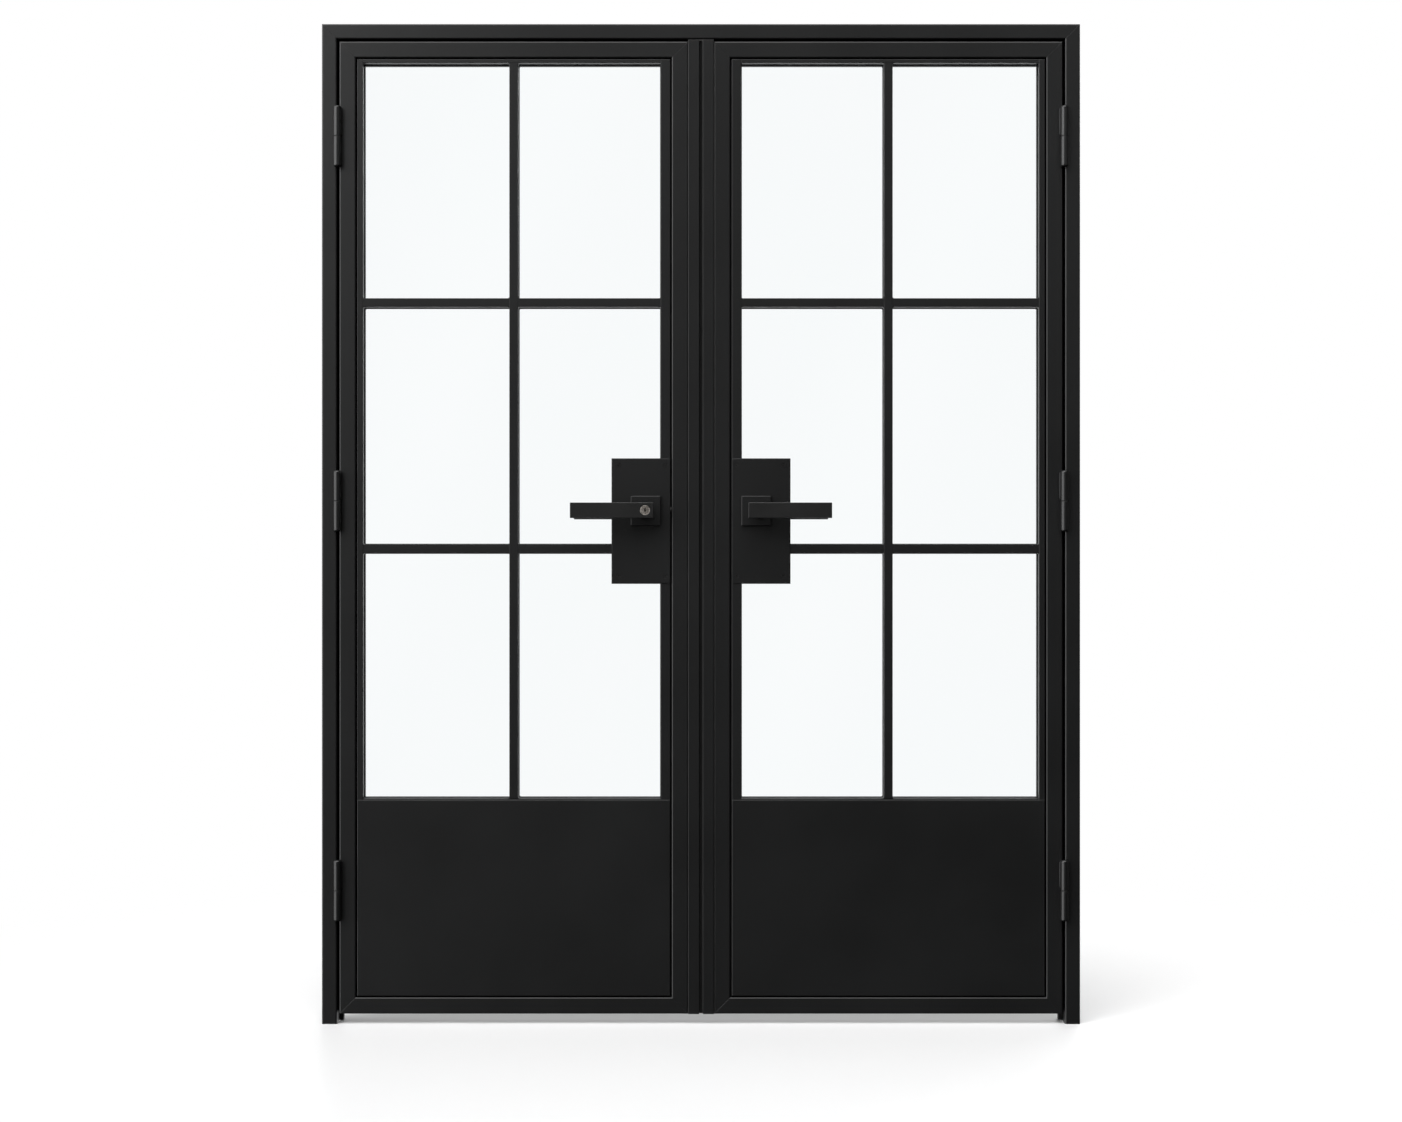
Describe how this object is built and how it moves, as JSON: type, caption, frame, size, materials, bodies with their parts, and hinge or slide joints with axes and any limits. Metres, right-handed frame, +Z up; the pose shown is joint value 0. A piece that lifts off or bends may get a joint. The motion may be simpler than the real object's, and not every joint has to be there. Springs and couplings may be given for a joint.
{
  "type": "french doors",
  "caption": "Pair of black steel glazed doors in a slim three-sided frame, with solid kick panels, bar levers and barrel hinges.",
  "frame": {"origin": "on the floor, midway between the jambs and at the mid-depth of the leaves", "axes": "+X across the pair to the right, +Y from the front (hinge and key side) to the back, +Z up"},
  "size_m": [1.562, 0.164, 2.06],
  "materials": {
    "black_coat": "satin black powder coat, fine grained",
    "clear_glass": "clear, very slightly blue-green",
    "seal_rubber": "matt black rubber",
    "bare_steel": "zinc plated",
    "satin_nickel": "satin nickel"
  },
  "bodies": {
    "frame": {"frame_header": "black_coat", "frame_jamb_left": "black_coat", "frame_jamb_right": "black_coat", "frame_stop_header": "black_coat", "frame_stop_left": "black_coat", "frame_stop_right": "black_coat", "frame_seal": "seal_rubber", "foot_plates": "black_coat", "frame_hinge_knuckles": "black_coat", "hinge_pins": "bare_steel", "hinge_washers": "satin_nickel"},
    "left_leaf": {"left_hinge_stile": "black_coat", "left_meeting_stile": "black_coat", "left_top_rail": "black_coat", "left_bottom_rail": "black_coat", "left_astragal": "black_coat", "left_kick_panel_front": "black_coat", "left_kick_panel_back": "black_coat", "left_muntin_upright": "black_coat", "left_muntins_cross": "black_coat", "left_glazing_bars": "black_coat", "left_glass": "clear_glass", "left_glazing_gaskets": "seal_rubber", "left_hinge_knuckles": "black_coat", "left_lock_box": "black_coat", "left_lock_plates": "black_coat", "left_plate_screws": "black_coat", "left_roses": "black_coat", "left_latch_housing": "bare_steel"},
    "left_lever": {"left_lever_front": "black_coat", "left_lever_back": "black_coat", "left_spindle": "bare_steel", "left_key_cylinder": "satin_nickel"},
    "left_latch": {"left_latch_bolt": "bare_steel"},
    "key_plug": {"left_key_plug": "satin_nickel"},
    "right_leaf": {"right_hinge_stile": "black_coat", "right_meeting_stile": "black_coat", "right_top_rail": "black_coat", "right_bottom_rail": "black_coat", "right_astragal": "black_coat", "right_kick_panel_front": "black_coat", "right_kick_panel_back": "black_coat", "right_muntin_upright": "black_coat", "right_muntins_cross": "black_coat", "right_glazing_bars": "black_coat", "right_glass": "clear_glass", "right_glazing_gaskets": "seal_rubber", "right_hinge_knuckles": "black_coat", "right_lock_box": "black_coat", "right_lock_plates": "black_coat", "right_plate_screws": "black_coat", "right_roses": "black_coat", "right_lever_front": "black_coat", "right_lever_back": "black_coat", "right_strike_plate": "bare_steel", "right_meeting_seal": "seal_rubber", "right_bolt_guides": "bare_steel"},
    "top_bolt": {"right_top_bolt": "bare_steel"},
    "bottom_bolt": {"right_bottom_bolt": "bare_steel"}
  },
  "joints": [
    {"name": "left_leaf_swing", "type": "hinge", "parent": "frame", "child": "left_leaf", "pos_m": [-0.7475, -0.0305, 1.03], "axis": [0, 0, -1], "range_deg": [0, 110]},
    {"name": "right_leaf_swing", "type": "hinge", "parent": "frame", "child": "right_leaf", "pos_m": [0.7475, -0.0305, 1.03], "axis": [0, 0, 1], "range_deg": [0, 110]},
    {"name": "left_lever_turn", "type": "hinge", "parent": "left_leaf", "child": "left_lever", "pos_m": [-0.1138, 0, 1.057], "axis": [0, -1, 0], "range_deg": [0, 45], "stiffness_Nm_per_rad": 2.5, "springref_deg": -40.11},
    {"name": "left_latch_slide", "type": "slide", "parent": "left_leaf", "child": "left_latch", "axis": [-1, 0, 0], "range_m": [0, 0.007]},
    {"name": "key_plug_turn", "type": "hinge", "parent": "left_lever", "child": "key_plug", "pos_m": [-0.1138, 0, 1.057], "axis": [0, -1, 0], "range_deg": [0, 90]},
    {"name": "top_bolt_slide", "type": "slide", "parent": "right_leaf", "child": "top_bolt", "axis": [0, 0, 1], "range_m": [0, 0.02]},
    {"name": "bottom_bolt_slide", "type": "slide", "parent": "right_leaf", "child": "bottom_bolt", "axis": [0, 0, -1], "range_m": [0, 0.035]}
  ],
  "couplings": [
    {"joint": "left_latch_slide", "follows": "left_lever_turn", "m_per_rad": 0.0089}
  ]
}
